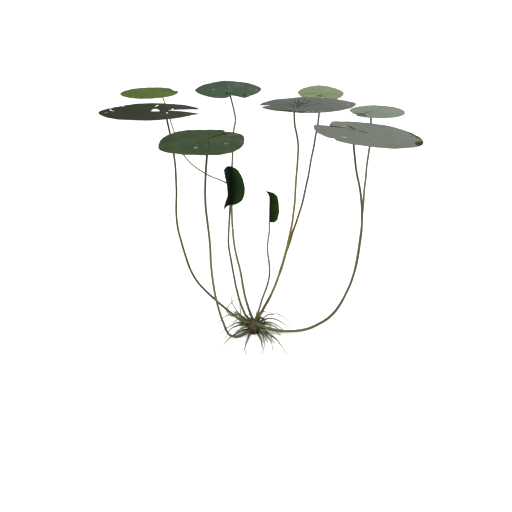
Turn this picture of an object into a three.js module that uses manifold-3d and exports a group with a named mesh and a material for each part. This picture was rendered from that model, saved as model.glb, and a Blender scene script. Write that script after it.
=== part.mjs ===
// A whole water lily plant, lifted bare-root: eight floating pads, two young leaves that are still folded,
// their ten stalks, a short upright rhizome and its roots.
//
// Millimetres, +Z up, -Y is the front. The origin is the centre of the rhizome's flat base, on the ground
// that the plant stands on. Each pad lies at the height of the water surface that it grew to.

import * as THREE from "three";
import { mergeVertices } from "three/addons/utils/BufferGeometryUtils.js";
import Module from "manifold-3d";

const wasm = await Module();
wasm.setup();

// ---------------------------------------------------------------- driving dimensions

const WATER_DEPTH = 417;        // ground to the rim of a floating pad
const BLADE_THICKNESS = 1;
const BLADE_DOME = 2.5;         // how far a pad's middle rises over its rim
const STALK_JOINT_GAP = 1;      // from a stalk's end to the blade over it
const TOUCHING_GAP = 0.3;       // between pieces that touch

const RHIZOME_RADIUS = 12.5;
const RHIZOME_HEIGHT = 27;

const STALK_BASE_RADIUS = 2.3;
const STALK_TOP_RADIUS = 1.7;
const THIN_STALK_BASE_RADIUS = 1.6;
const THIN_STALK_TOP_RADIUS = 1.2;

const ROOT_BASE_RADIUS = 1.6;
const ROOT_TIP_RADIUS = 0.5;

const BLADE_SEGMENTS = 32;
const STALK_SIDES = 6;
const STALK_STEP = 18;          // length of one straight stretch of a stalk
const ROOT_SIDES = 5;
const ROOT_STEPS = 8;
const RHIZOME_SIDES = 18;

// ---------------------------------------------------------------- the pieces and their places

// Each pad: where its rim's middle lies, half its length along the notch and half its width across it, the
// direction of the notch seen from above (0 is +X, 90 is +Y), how wide the notch opens, how far from the
// middle the stalk joins (as a share of the length), and its lean: tilt lowers the front, roll the right.
const PADS = {
  pad_left: {
    at: [-178, 25], lift: 0, long: 86, wide: 73, notch: 2, opening: 9, joint: 0.3, tilt: -1, roll: 0,
    colour: 0x32372d,
    holes: [[11, 4, 8, 12], [9, 46, 3, 12], [39, 11, 2.5, 7], [33, -22, 2, 7], [-65, 13, 3, 12]],
  },
  pad_back_left: {
    at: [-200, 186], lift: 0, long: 55, wide: 53, notch: 25, opening: 3, joint: 0.4, tilt: 1, roll: 0,
    colour: 0x556e32,
  },
  pad_front_left: {
    at: [-74, -175], lift: 0, long: 65, wide: 62, notch: 62, opening: 3, joint: 0.28, tilt: 2, roll: 0,
    colour: 0x46553a,
  },
  pad_back: {
    at: [-50, 218], lift: 0, long: 69, wide: 65, notch: -82, opening: 6, joint: 0.26, tilt: 4, roll: 0,
    colour: 0x4b6250,
  },
  pad_right: {
    at: [96, 83], lift: -1, long: 88, wide: 74, notch: 189, opening: 9, joint: 0.28, tilt: -1, roll: 0,
    colour: 0x646762,
  },
  pad_back_right: {
    at: [128, 187], lift: -1, long: 46, wide: 44, notch: -90, opening: 5, joint: 0.28, tilt: 8, roll: 0,
    colour: 0x879b73,
  },
  pad_far_right: {
    at: [208, 9], lift: 3, long: 46, wide: 44, notch: 205, opening: 3, joint: 0.28, tilt: 1.5, roll: 0,
    colour: 0x879484,
  },
  pad_front_right: {
    at: [173, -131], lift: 0, long: 84, wide: 81, notch: 141, opening: 3, joint: 0.32, tilt: -1, roll: 5,
    colour: 0x768073,
  },
};

// Each young leaf stands on its stalk, folded along its midrib. The two halves are outlines from the
// stalk joint upward: [distance out from the midrib, height]. turn is the direction, seen from above,
// that a half points in.
const YOUNG_LEAVES = {
  young_leaf_left: {
    at: [-41, -17, 263], lean: -1, colour: 0x16280f,
    front: {
      turn: -8,
      outline: [[0, 0], [11, 3], [21, 11], [27, 23], [28, 36], [23, 52], [14, 65], [0, 71]],
    },
    back: {
      turn: 118,
      outline: [[0, 0], [8, -6], [11, 2], [6, 18], [8, 34], [12, 50], [13, 62], [8, 69], [0, 71]],
    },
  },
  young_leaf_right: {
    at: [28, 5, 223], lean: 0, colour: 0x26380f,
    front: {
      turn: -5,
      outline: [[0, 0], [8, -1], [14, 6], [17, 20], [15, 36], [10, 49], [2, 56], [0, 56]],
    },
    back: {
      turn: 80,
      outline: [[0, 0], [8, 1], [13, 9], [14, 22], [12, 38], [8, 50], [0, 56]],
    },
  },
};

// Each stalk's route, from inside the rhizome to just short of the leaf that it carries.
const STALKS = {
  stalk_left: {
    leaf: "pad_left", colour: 0x5f693c,
    route: [
      [-4, -2, 14], [-20, -1, 23], [-35, 0, 34], [-70, 5, 64], [-110, 10, 110],
      [-133, 15, 183], [-139, 17, 222], [-137, 20, 305], [-144, 24, 378],
    ],
  },
  stalk_back_left: {
    leaf: "pad_back_left", colour: 0x5f693c, thin: true,
    route: [
      [-1, 7, 17], [-7, 17, 33], [-15, 28, 54], [-25, 54, 98], [-37, 80, 142], [-42, 105, 190],
      [-44, 124, 224], [-46, 134, 244], [-52, 138, 253], [-68, 142, 258], [-93, 147, 268], [-118, 154, 283],
      [-137, 162, 302], [-154, 176, 341], [-170, 189, 393],
    ],
  },
  stalk_front_left: {
    leaf: "pad_front_left", colour: 0x5f693c,
    route: [
      [-3, -4, 15], [-10, -14, 10], [-19, -20, 5], [-30, -24, 4], [-41, -29, 8], [-48, -36, 18],
      [-57, -52, 53], [-65, -80, 109], [-70, -110, 184], [-71, -128, 245], [-74, -148, 317], [-71, -158, 369],
    ],
  },
  stalk_back: {
    leaf: "pad_back", colour: 0x5f693c,
    route: [
      [-1, 3, 17], [-7, 8, 38], [-15, 18, 59], [-25, 42, 104], [-37, 66, 148], [-42, 90, 196],
      [-43, 116, 242], [-42, 145, 287], [-40, 174, 341], [-36, 187, 364], [-38, 194, 378],
    ],
  },
  stalk_right: {
    leaf: "pad_right", colour: 0x786940,
    route: [
      [1, 1, 15], [8, 4, 30], [19, 9, 48], [39, 17, 88], [58, 29, 149], [72, 44, 215], [77, 57, 284],
      [80, 69, 345], [77, 73, 366], [73, 77, 386],
    ],
  },
  stalk_back_right: {
    leaf: "pad_back_right", colour: 0x786940,
    route: [
      [2, 6, 15], [13, 13, 34], [28, 22, 57], [50, 46, 104], [70, 76, 160], [93, 106, 224], [110, 142, 297],
      [122, 167, 359],
    ],
  },
  stalk_far_right: {
    leaf: "pad_far_right", colour: 0x5f693c,
    route: [
      [3, -3, 18], [14, -7, 16], [28, -8, 11], [46, -10, 8], [70, -10, 7], [99, -9, 10], [123, -8, 21],
      [145, -7, 38], [160, -6, 59], [182, -4, 119], [191, -2, 194], [193, 0, 250], [195, 1, 325],
      [199, 2, 380],
    ],
  },
  stalk_front_right: {
    leaf: "pad_front_right", colour: 0x5f693c,
    route: [
      [3, -7, 22], [12, -14, 22], [24, -18, 19], [46, -24, 17], [69, -34, 21], [96, -46, 33], [118, -57, 50],
      [137, -66, 71], [151, -73, 96], [170, -87, 160], [177, -101, 250], [172, -106, 307], [159, -111, 366],
    ],
  },
  stalk_young_left: {
    leaf: "young_leaf_left", colour: 0x66704a, thin: true,
    route: [[-5, 1, 18], [-15, 0, 36], [-27, -5, 71], [-39, -10, 140], [-45, -14, 187], [-43, -16, 237]],
  },
  stalk_young_right: {
    leaf: "young_leaf_right", colour: 0x8a7d5c, thin: true,
    route: [[2, -5, 18], [6, -5, 36], [15, -1, 68], [27, 3, 106], [29, 3, 128], [25, 5, 170], [28, 5, 205]],
  },
};

// Each root: the direction that it leaves the rhizome in, the direction of its tip, both seen from above,
// how far its tip reaches from the axis, the height that it starts at, and how high it arches over that.
const ROOTS = [
  [-122, -100, 88, 6, 0], [-58, -79, 81, 5, 1], [-38, -71, 62, 9, 3], [-26, -64, 76, 7, 6],
  [-26, -46, 60, 12, 8], [-16, -54, 102, 4, 4], [-36, -60, 48, 14, 6], [-170, -163, 42, 15, 7],
  [174, -138, 74, 6, 3], [158, -156, 60, 12, 12], [-160, -148, 42, 5, 2], [150, -176, 60, 6, 15],
  [136, 158, 80, 12, 24], [134, 142, 52, 6, 16], [126, 118, 94, 13, 8], [114, 106, 104, 5, 8],
  [104, 96, 72, 12, 4], [90, 84, 84, 6, 6], [76, 64, 56, 13, 8], [62, 42, 46, 6, 8],
  [38, 12, 68, 14, 18], [44, 0, 58, 6, 14], [10, -16, 54, 12, 6], [26, -4, 52, 8, 12],
  [20, 8, 40, 4, 4],
];

const COLOURS = { rhizome: 0x5a463c, root: 0x4c5235 };

// ---------------------------------------------------------------- closed solids

// Welds a geometry into one closed surface, without the flat triangles that welding leaves.
function welded(geometry) {
  geometry.deleteAttribute("normal");
  geometry.deleteAttribute("uv");
  const joined = mergeVertices(geometry);
  const corners = joined.index.array;
  const kept = [];
  for (let i = 0; i < corners.length; i += 3) {
    const [a, b, c] = corners.slice(i, i + 3);
    if (a !== b && b !== c && c !== a) kept.push(a, b, c);
  }
  joined.setIndex(kept);
  return joined;
}

function toSolid(geometry) {
  const surface = welded(geometry);
  return new wasm.Manifold(new wasm.Mesh({
    numProp: 3,
    vertProperties: new Float32Array(surface.attributes.position.array),
    triVerts: new Uint32Array(surface.index.array),
  }));
}

function toGeometry(solid) {
  const mesh = solid.getMesh();
  const geometry = new THREE.BufferGeometry();
  geometry.setAttribute("position", new THREE.BufferAttribute(new Float32Array(mesh.vertProperties), 3));
  geometry.setIndex(new THREE.BufferAttribute(new Uint32Array(mesh.triVerts), 1));
  geometry.computeVertexNormals();
  return geometry;
}

// A solid of revolution about Z. The outline runs from the bottom of the axis, out and up, to its top.
function turned(outline, sides) {
  const points = outline.map(([radius, height]) => new THREE.Vector2(radius, height));
  return new THREE.LatheGeometry(points, sides).rotateX(Math.PI / 2);
}

// A flat outline in X and Y, made into a plate between two heights.
function plate(outline, bottom, top) {
  const shape = new THREE.Shape(outline.map(([x, y]) => new THREE.Vector2(x, y)));
  const options = { depth: top - bottom, bevelEnabled: false };
  return new THREE.ExtrudeGeometry(shape, options).translate(0, 0, bottom);
}

function roundOutline(x, y, halfX, halfY, sides) {
  const outline = [];
  for (let i = 0; i < sides; i++) {
    const angle = (2 * Math.PI * i) / sides;
    outline.push([x + halfX * Math.cos(angle), y + halfY * Math.sin(angle)]);
  }
  return outline;
}

// A tapered tube: a straight prism, one unit of length for each step, bent along a smooth curve.
function taperedTube(route, baseRadius, tipRadius, sides, steps) {
  const points = route.map((point) => new THREE.Vector3(...point));
  const curve = new THREE.CatmullRomCurve3(points, false, "centripetal");
  const centres = curve.getSpacedPoints(steps);
  const frames = curve.computeFrenetFrames(steps, false);
  const section = new THREE.Shape(roundOutline(0, 0, 1, 1, sides).map(([x, y]) => new THREE.Vector2(x, y)));
  const tube = new THREE.ExtrudeGeometry(section, { depth: steps, steps, bevelEnabled: false });
  const corners = tube.attributes.position;
  for (let i = 0; i < corners.count; i++) {
    const step = Math.round(corners.getZ(i));
    const radius = THREE.MathUtils.lerp(baseRadius, tipRadius, step / steps);
    const corner = centres[step].clone();
    corner.addScaledVector(frames.normals[step], radius * corners.getX(i));
    corner.addScaledVector(frames.binormals[step], radius * corners.getY(i));
    corners.setXYZ(i, corner.x, corner.y, corner.z);
  }
  return tube;
}

function named(name, geometry, colour, roughness) {
  const material = new THREE.MeshStandardMaterial({ color: colour, roughness, metalness: 0 });
  const mesh = new THREE.Mesh(geometry, material);
  mesh.name = name;
  return mesh;
}

const radians = THREE.MathUtils.degToRad;

// ---------------------------------------------------------------- rhizome

// A short stump with a flat base. grow widens it all round, for cutting what touches it.
function rhizomeGeometry(grow) {
  const radius = RHIZOME_RADIUS + grow;
  const top = RHIZOME_HEIGHT + grow;
  return turned([
    [0, -grow], [0.86 * radius, -grow], [radius, 0.16 * top], [0.97 * radius, 0.5 * top],
    [0.82 * radius, 0.78 * top], [0.5 * radius, 0.96 * top], [0, top],
  ], RHIZOME_SIDES);
}

const rhizomeCutter = toSolid(rhizomeGeometry(TOUCHING_GAP));

// ---------------------------------------------------------------- pads

function bladeGeometry(pad) {
  const rings = [0, 0.55, 1];
  const domed = (share) => BLADE_DOME * (1 - share * share);
  const underside = rings.map((share) => [share * pad.long, domed(share) - BLADE_THICKNESS]);
  const topside = rings.map((share) => [share * pad.long, domed(share)]).reverse();
  const disc = turned([...underside, ...topside], BLADE_SEGMENTS).scale(1, pad.wide / pad.long, 1);
  const jointX = pad.joint * pad.long;
  const rimX = 1.2 * pad.long;
  const rimY = (rimX - jointX) * Math.tan(radians(pad.opening / 2));
  const clear = BLADE_DOME + 2 * BLADE_THICKNESS;
  const notch = plate([[jointX, 0], [rimX, -rimY], [rimX, rimY]], -clear, clear);
  let blade = toSolid(disc).subtract(toSolid(notch));
  for (const [x, y, halfX, halfY] of pad.holes ?? []) {
    blade = blade.subtract(toSolid(plate(roundOutline(x, y, halfX, halfY, 8), -clear, clear)));
  }
  return toGeometry(blade);
}

function placedPad(name, pad) {
  const mesh = named(name, bladeGeometry(pad), pad.colour, 0.45);
  mesh.position.set(...pad.at, WATER_DEPTH + pad.lift);
  mesh.rotation.set(radians(pad.tilt), radians(pad.roll), radians(pad.notch));
  mesh.updateMatrix();
  return mesh;
}

// Where a pad's stalk ends: under the blade, at the inner end of the notch.
function padJoint(pad, mesh) {
  const height = BLADE_DOME * (1 - pad.joint ** 2) - BLADE_THICKNESS - STALK_JOINT_GAP;
  return new THREE.Vector3(pad.joint * pad.long, 0, height).applyMatrix4(mesh.matrix).toArray();
}

// ---------------------------------------------------------------- young leaves

// One half of a folded leaf: its outline stands upright and is as thick as a blade.
function halfLeaf({ turn, outline }) {
  const half = plate(outline, -BLADE_THICKNESS / 2, BLADE_THICKNESS / 2);
  return toSolid(half.rotateX(Math.PI / 2).rotateZ(radians(turn)));
}

function placedYoungLeaf(name, leaf) {
  const folded = halfLeaf(leaf.front).add(halfLeaf(leaf.back));
  const mesh = named(name, toGeometry(folded), leaf.colour, 0.4);
  mesh.position.set(...leaf.at);
  mesh.rotation.set(0, radians(leaf.lean), 0);
  return mesh;
}

// ---------------------------------------------------------------- stalks

function stalkGeometry(stalk, end) {
  const route = [...stalk.route, end];
  const length = new THREE.CatmullRomCurve3(route.map((point) => new THREE.Vector3(...point))).getLength();
  const base = stalk.thin ? THIN_STALK_BASE_RADIUS : STALK_BASE_RADIUS;
  const top = stalk.thin ? THIN_STALK_TOP_RADIUS : STALK_TOP_RADIUS;
  const tube = taperedTube(route, base, top, STALK_SIDES, Math.round(length / STALK_STEP));
  return toGeometry(toSolid(tube).subtract(rhizomeCutter));
}

// ---------------------------------------------------------------- roots

function shortWayRound(turn) {
  return turn - 360 * Math.round(turn / 360);
}

// A root leaves the rhizome, bends away, arches over and lies along the ground, no lower than the ground.
function rootGeometry([baseTurn, tipTurn, reach, startHeight, arch]) {
  const route = [];
  for (let step = 0; step <= ROOT_STEPS; step++) {
    const along = step / ROOT_STEPS;
    const turn = radians(baseTurn + shortWayRound(tipTurn - baseTurn) * along ** 0.6);
    const distance = THREE.MathUtils.lerp(0.6 * RHIZOME_RADIUS, reach, along);
    const height = startHeight * (1 - along) ** 2 + 4 * arch * along * (1 - along);
    const radius = THREE.MathUtils.lerp(ROOT_BASE_RADIUS, ROOT_TIP_RADIUS, along);
    route.push([distance * Math.cos(turn), distance * Math.sin(turn), Math.max(height, radius)]);
  }
  const tube = taperedTube(route, ROOT_BASE_RADIUS, ROOT_TIP_RADIUS, ROOT_SIDES, ROOT_STEPS);
  return toGeometry(toSolid(tube).subtract(rhizomeCutter));
}

// ---------------------------------------------------------------- assembly

const plant = new THREE.Group();
plant.add(named("rhizome", welded(rhizomeGeometry(0)), COLOURS.rhizome, 0.9));

const joints = {};
for (const [name, pad] of Object.entries(PADS)) {
  const mesh = placedPad(name, pad);
  joints[name] = padJoint(pad, mesh);
  plant.add(mesh);
}
for (const [name, leaf] of Object.entries(YOUNG_LEAVES)) {
  plant.add(placedYoungLeaf(name, leaf));
  joints[name] = [leaf.at[0], leaf.at[1], leaf.at[2] - STALK_JOINT_GAP];
}
for (const [name, stalk] of Object.entries(STALKS)) {
  plant.add(named(name, stalkGeometry(stalk, joints[stalk.leaf]), stalk.colour, 0.55));
}
ROOTS.forEach((root, i) => {
  const name = `root_${String(i + 1).padStart(2, "0")}`;
  plant.add(named(name, rootGeometry(root), COLOURS.root, 0.8));
});

export default plant;
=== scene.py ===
import math
import random

import bpy
import numpy as np
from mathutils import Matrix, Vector, noise
from mathutils.geometry import delaunay_2d_cdt


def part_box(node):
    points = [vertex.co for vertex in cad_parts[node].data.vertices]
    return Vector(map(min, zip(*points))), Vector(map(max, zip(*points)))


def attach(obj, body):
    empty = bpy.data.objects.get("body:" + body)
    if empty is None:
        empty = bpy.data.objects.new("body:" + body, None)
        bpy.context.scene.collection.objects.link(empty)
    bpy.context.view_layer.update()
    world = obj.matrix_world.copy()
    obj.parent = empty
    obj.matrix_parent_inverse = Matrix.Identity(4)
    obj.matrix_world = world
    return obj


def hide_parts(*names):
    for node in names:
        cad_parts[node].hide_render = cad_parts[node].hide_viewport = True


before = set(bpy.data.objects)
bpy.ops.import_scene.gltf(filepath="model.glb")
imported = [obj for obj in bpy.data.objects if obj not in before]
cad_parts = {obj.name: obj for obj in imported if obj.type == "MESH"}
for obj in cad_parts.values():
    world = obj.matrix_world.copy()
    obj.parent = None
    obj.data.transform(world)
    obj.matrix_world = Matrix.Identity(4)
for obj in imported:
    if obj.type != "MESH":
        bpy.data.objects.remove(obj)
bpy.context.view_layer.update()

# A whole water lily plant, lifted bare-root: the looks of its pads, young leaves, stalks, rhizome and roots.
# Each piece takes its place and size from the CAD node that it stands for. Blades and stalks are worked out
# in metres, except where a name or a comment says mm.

random.seed(11)

MM = 0.001
RIB_COUNT = 5                  # lengthwise ribs round a stalk
BLADE_THICKNESS = 1.0 * MM     # of the CAD blades
BLADE_DOME = 2.5 * MM          # how far a CAD blade's middle rises over its rim


# -------- numbers

def blend(first, second, share):
    return first + (second - first) * share


def smooth(low, high, value):
    share = np.clip((value - low) / (high - low), 0.0, 1.0)
    return share * share * (3 - 2 * share)


def unit(vectors):
    lengths = np.linalg.norm(vectors, axis=-1, keepdims=True)
    return vectors / np.maximum(lengths, 1e-12)


def rough_field(points, size, seed):
    """Smooth noise from -1 to 1 at each point, with bumps of about that size."""
    offset = Vector((seed * 7.31, seed * 3.77, seed * 5.13))
    return np.array([noise.noise(Vector(point) / size + offset) for point in points])


def drift(points, size, seed):
    """Smooth noise from -1 to 1 in each of the three directions, at each point."""
    return np.column_stack([rough_field(points, size, seed + i) for i in range(3)])


STUDIO_LIGHT = 2.15     # how brightly the studio lights a level white surface


def linear(red, green, blue, alpha=1.0):
    """A paint that looks this colour, 0 to 255 as on a screen, in the light of the studio."""
    def channel(value):
        value /= 255
        light = value / 12.92 if value <= 0.04045 else ((value + 0.055) / 1.055) ** 2.4
        return light / STUDIO_LIGHT
    return (channel(red), channel(green), channel(blue), alpha)


# -------- what the CAD says

def cad_mesh(node):
    """The corners of a CAD node, each place once, and the neighbours of each."""
    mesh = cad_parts[node].data
    corners = np.array([tuple(vertex.co) for vertex in mesh.vertices])
    places, index = np.unique(np.round(corners / (0.001 * MM)), axis=0, return_inverse=True)
    index = index.ravel()
    points = places * 0.001 * MM
    near = [set() for _ in points]
    for edge in mesh.edges:
        a, b = index[edge.vertices[0]], index[edge.vertices[1]]
        if a != b:
            near[a].add(b)
            near[b].add(a)
    return points, near


def cad_centre_line(node, sides, how_far):
    """The middles and radii of a CAD tube's rings, from where it leaves the rhizome to its free end."""
    points, near = cad_mesh(node)
    ring = set(np.argsort(-how_far(points))[:sides].tolist())
    seen = set()
    centres, radii = [], []
    while len(ring) == sides:
        corners = points[sorted(ring)]
        centre = corners.mean(axis=0)
        centres.append(centre)
        radii.append(np.linalg.norm(corners - centre, axis=1).mean())
        seen |= ring
        ring = {n for corner in ring for n in near[corner]} - seen
    return np.array(centres[::-1]), np.array(radii[::-1])


def upward(points):
    return points[:, 2]


def outward(points):
    return np.hypot(points[:, 0], points[:, 1])


STALK_SIDES = 6
ROOT_SIDES = 5
stalk_lines = {
    node: cad_centre_line(node, STALK_SIDES, upward)
    for node in sorted(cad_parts) if node.startswith("stalk_")
}


# -------- meshes

def smooth_line(points, spacing):
    """A smooth curve through the points, as points about that far apart, and each one's place on it."""
    steps = np.linalg.norm(np.diff(points, axis=0), axis=1)
    place = np.concatenate([[0.0], np.cumsum(steps)])
    slope = np.gradient(points, place, axis=0)
    count = max(8, int(round(place[-1] / spacing)))
    wanted = np.linspace(0, place[-1], count + 1)
    left = np.clip(np.searchsorted(place, wanted, side="right") - 1, 0, len(points) - 2)
    width = (place[left + 1] - place[left])[:, None]
    t = (wanted - place[left])[:, None] / width
    curve = (
        (2 * t**3 - 3 * t**2 + 1) * points[left] + (t**3 - 2 * t**2 + t) * width * slope[left]
        + (3 * t**2 - 2 * t**3) * points[left + 1] + (t**3 - t**2) * width * slope[left + 1]
    )
    return curve, wanted, place


def ring_faces(rings, sides):
    """The faces of a stack of rings. The last two corners are the middles of its closed ends."""
    faces = []
    for i in range(rings - 1):
        for j in range(sides):
            k = (j + 1) % sides
            faces.append((i * sides + j, i * sides + k, (i + 1) * sides + k, (i + 1) * sides + j))
    first, top = rings * sides, (rings - 1) * sides
    for j in range(sides):
        k = (j + 1) % sides
        faces += [(first, k, j), (first + 1, top + j, top + k)]
    return faces


def tube(line, radii, sides, ribs=0.0):
    """A closed tube along a line: its corners, its faces and how far along it each corner is, 0 to 1."""
    ahead = unit(np.gradient(line, axis=0))
    side = np.cross(ahead[0], (0.3, 0.9, 0.31))
    across = []
    for direction in ahead:
        side = side - direction * (side @ direction)
        side = side / np.linalg.norm(side)
        across.append(side)
    across = np.array(across)
    other = np.cross(ahead, across)
    turn = np.arange(sides) * 2 * math.pi / sides
    ridge = 1 + ribs * np.cos(RIB_COUNT * turn)
    ring = (np.cos(turn) * ridge)[None, :, None] * across[:, None, :]
    ring = ring + (np.sin(turn) * ridge)[None, :, None] * other[:, None, :]
    corners = (line[:, None, :] + radii[:, None, None] * ring).reshape(-1, 3)
    ends = np.array([line[0] - ahead[0] * radii[0] * 0.5, line[-1] + ahead[-1] * radii[-1] * 0.5])
    along = np.concatenate([np.repeat(np.linspace(0, 1, len(line)), sides), [0.0, 1.0]])
    return np.vstack([corners, ends]), ring_faces(len(line), sides), along


def joined(parts):
    """Several (corners, faces, values) made one."""
    corners, faces, values, start = [], [], [], 0
    for part_corners, part_faces, part_values in parts:
        corners.append(part_corners)
        faces += [tuple(index + start for index in face) for face in part_faces]
        values.append(part_values)
        start += len(part_corners)
    return np.vstack(corners), faces, np.concatenate(values)


def piece(name, corners, faces, nodes, materials, values, used=None):
    """A piece of the plant. values are named numbers for each corner, which its materials read, and used says
    which of the materials each face has."""
    mesh = bpy.data.meshes.new(name)
    mesh.from_pydata(np.asarray(corners).tolist(), [], faces)
    for key, numbers in values.items():
        numbers = np.asarray(numbers, np.float32)
        if numbers.ndim == 1:
            layer = mesh.attributes.new(key, "FLOAT", "POINT")
            layer.data.foreach_set("value", numbers)
        else:
            layer = mesh.attributes.new(key, "FLOAT_VECTOR", "POINT")
            layer.data.foreach_set("vector", numbers.ravel())
    for material in materials:
        mesh.materials.append(material)
    if used is not None:
        mesh.polygons.foreach_set("material_index", np.asarray(used, np.int32))
    mesh.polygons.foreach_set("use_smooth", np.ones(len(mesh.polygons), bool))
    mesh.update()
    made = bpy.data.objects.new(name, mesh)
    bpy.context.scene.collection.objects.link(made)
    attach(made, "root")
    if nodes:
        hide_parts(*nodes)
    return made


# -------- materials

class Shading:
    """Nodes of a material or world. Each method adds some and gives back what comes out of them."""

    def __init__(self, owner):
        owner.use_nodes = True
        self.owner = owner
        self.tree = owner.node_tree
        self.tree.nodes.clear()

    def add(self, kind, inputs, **settings):
        node = self.tree.nodes.new(kind)
        for key, value in settings.items():
            setattr(node, key, value)
        for socket, value in inputs.items():
            if isinstance(value, bpy.types.NodeSocket):
                self.tree.links.new(value, node.inputs[socket])
            else:
                node.inputs[socket].default_value = value
        return node

    def math(self, operation, first, second=0.0):
        return self.add("ShaderNodeMath", {0: first, 1: second}, operation=operation).outputs[0]

    def times(self, first, second):
        return self.math("MULTIPLY", first, second)

    def plus(self, first, second):
        return self.math("ADD", first, second)

    def less(self, first, second):
        return self.math("SUBTRACT", first, second)

    def over(self, first, second):
        return self.math("DIVIDE", first, second)

    def apart(self, first, second):
        return self.math("ABSOLUTE", self.less(first, second))

    def centred(self, grain, amount):
        """Moves a grain of 0 to 1 so that it lies evenly about 0, and scales it."""
        return self.times(self.less(grain, 0.5), amount)

    def ease(self, value, low, high, first=0.0, last=1.0):
        """first below low, last above high, smooth between. low may be the larger."""
        inputs = {"Value": value, "From Min": low, "From Max": high, "To Min": first, "To Max": last}
        return self.add("ShaderNodeMapRange", inputs, interpolation_type="SMOOTHSTEP").outputs[0]

    def paint(self, colour, paint, share, strength=1.0):
        """Lays a paint, 0 to 255 as on a screen, over a colour."""
        inputs = {0: self.times(share, strength), 6: colour, 7: linear(*paint)}
        return self.add("ShaderNodeMix", inputs, data_type="RGBA").outputs[2]

    def value(self, name, kind="Fac"):
        return self.add("ShaderNodeAttribute", {}, attribute_name=name).outputs[kind]

    def place(self, kind="Object"):
        return self.add("ShaderNodeTexCoord", {}).outputs[kind]

    def split(self, vector):
        return self.add("ShaderNodeSeparateXYZ", {0: vector}).outputs

    def grain(self, vector, scale, detail=3.0):
        inputs = {"Vector": vector, "Scale": scale, "Detail": detail}
        return self.add("ShaderNodeTexNoise", inputs).outputs["Fac"]

    def spots(self, vector, scale, reach):
        """1 at the middle of scattered spots, 0 away from them."""
        cells = self.add("ShaderNodeTexVoronoi", {"Vector": vector, "Scale": scale}).outputs
        chance = self.add("ShaderNodeSeparateColor", {0: cells["Color"]}).outputs[0]
        rare = self.ease(chance, 0.7, 0.75)
        return self.times(self.ease(cells["Distance"], reach, reach * 0.5), rare)

    def finish(self, colour, roughness, gloss, height=None, depth=None):
        inputs = {"Base Color": colour, "Roughness": roughness, "Specular IOR Level": gloss}
        if height is not None:
            bump = self.add("ShaderNodeBump", {"Height": height, "Distance": depth, "Strength": 1.0})
            inputs["Normal"] = bump.outputs[0]
        shader = self.add("ShaderNodeBsdfPrincipled", inputs)
        self.add("ShaderNodeOutputMaterial", {0: shader.outputs[0]})
        return self.owner


def new_material(name):
    return Shading(bpy.data.materials.new(name))


VEIN_COUNT = 22
PLAN_UNIT = 100 * MM     # a blade's plan, which its materials read, is in decimetres from the stalk


def vein_gap(shade, plan):
    """How far a point is from the nearest vein and from the stalk, in units of the plan.

    The veins leave the stalk's end like spokes, and each one forks twice on its way to the rim."""
    x, y, _ = shade.split(plan)
    reach = shade.math("SQRT", shade.plus(shade.times(x, x), shade.times(y, y)))
    turn = shade.over(shade.math("ARCTAN2", y, x), 2 * math.pi)
    sway = shade.centred(shade.grain(plan, 4.0, 1.0), 0.035)
    off = shade.apart(shade.math("FRACT", shade.times(shade.plus(turn, sway), VEIN_COUNT)), 0.5)
    off = shade.apart(off, shade.times(shade.ease(reach, 0.18, 0.5), 0.25))
    off = shade.apart(off, shade.times(shade.ease(reach, 0.42, 0.8), 0.12))
    across = shade.over(shade.times(reach, 2 * math.pi), VEIN_COUNT)
    return shade.times(off, across), reach


def marked(shade, colour, plan, marks):
    """Paints a blade's marks, with ragged edges."""
    wobble = shade.centred(shade.grain(plan, 60.0, 2.0), 1.2)
    for *mark, turn, paint, strength in marks:
        x, y, half_long, half_wide = (number * MM / PLAN_UNIT for number in mark)
        inputs = {"Vector": plan, "Center": (x, y, 0), "Axis": (0, 0, 1), "Angle": -math.radians(turn)}
        along, across, _ = shade.split(shade.add("ShaderNodeVectorRotate", inputs).outputs[0])
        along = shade.over(shade.less(along, x), half_long)
        across = shade.over(shade.less(across, y), half_wide)
        far = shade.plus(shade.times(along, along), shade.times(across, across))
        colour = shade.paint(colour, paint, shade.ease(shade.plus(far, wobble), 1.25, 0.6), strength)
    return colour


def blade_top_material(name, look):
    shade = new_material(name)
    plan = shade.value("plan", "Vector")
    gap, reach = vein_gap(shade, plan)
    wide, end = look["vein_width"] * MM / PLAN_UNIT, look["vein_reach"] * MM / PLAN_UNIT
    vein = shade.times(shade.ease(gap, wide, wide / 4), shade.ease(reach, end, 0.1))
    broad = shade.grain(plan, 3.0, 2.0)
    fine = shade.grain(plan, 28.0, 4.0)
    colour = shade.paint(linear(*look["colour"]), look["other"], shade.ease(broad, 0.38, 0.66))
    colour = shade.paint(colour, look["fleck"], shade.ease(fine, 0.45, 0.75), 0.35)
    colour = shade.paint(colour, look["vein"], vein, look["veins"])
    edge = shade.ease(shade.value("rim"), look["rim_width"], 0.0)
    colour = shade.paint(colour, look["rim"], shade.times(edge, shade.ease(broad, 0.25, 0.55)))
    colour = shade.paint(colour, look["speck"], shade.spots(plan, 16.0, 0.1), 0.5)
    colour = marked(shade, colour, plan, look["marks"])
    rough = shade.plus(shade.times(fine, 0.2), look["rough"])
    height = shade.less(shade.times(fine, 0.8), shade.times(vein, 0.8))
    return shade.finish(colour, rough, look["gloss"], height, look["relief"] * MM)


def blade_under_material(name):
    """The underside is browner and duller, with raised veins."""
    shade = new_material(name)
    plan = shade.value("plan", "Vector")
    vein = shade.ease(vein_gap(shade, plan)[0], 0.02, 0.004)
    blotch = shade.grain(plan, 9.0, 4.0)
    colour = shade.paint(linear(96, 92, 62), (112, 84, 72), shade.ease(blotch, 0.35, 0.7))
    colour = shade.paint(colour, (134, 138, 92), vein, 0.6)
    return shade.finish(colour, 0.6, 0.25, shade.plus(vein, shade.times(blotch, 0.4)), 0.5 * MM)


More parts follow.
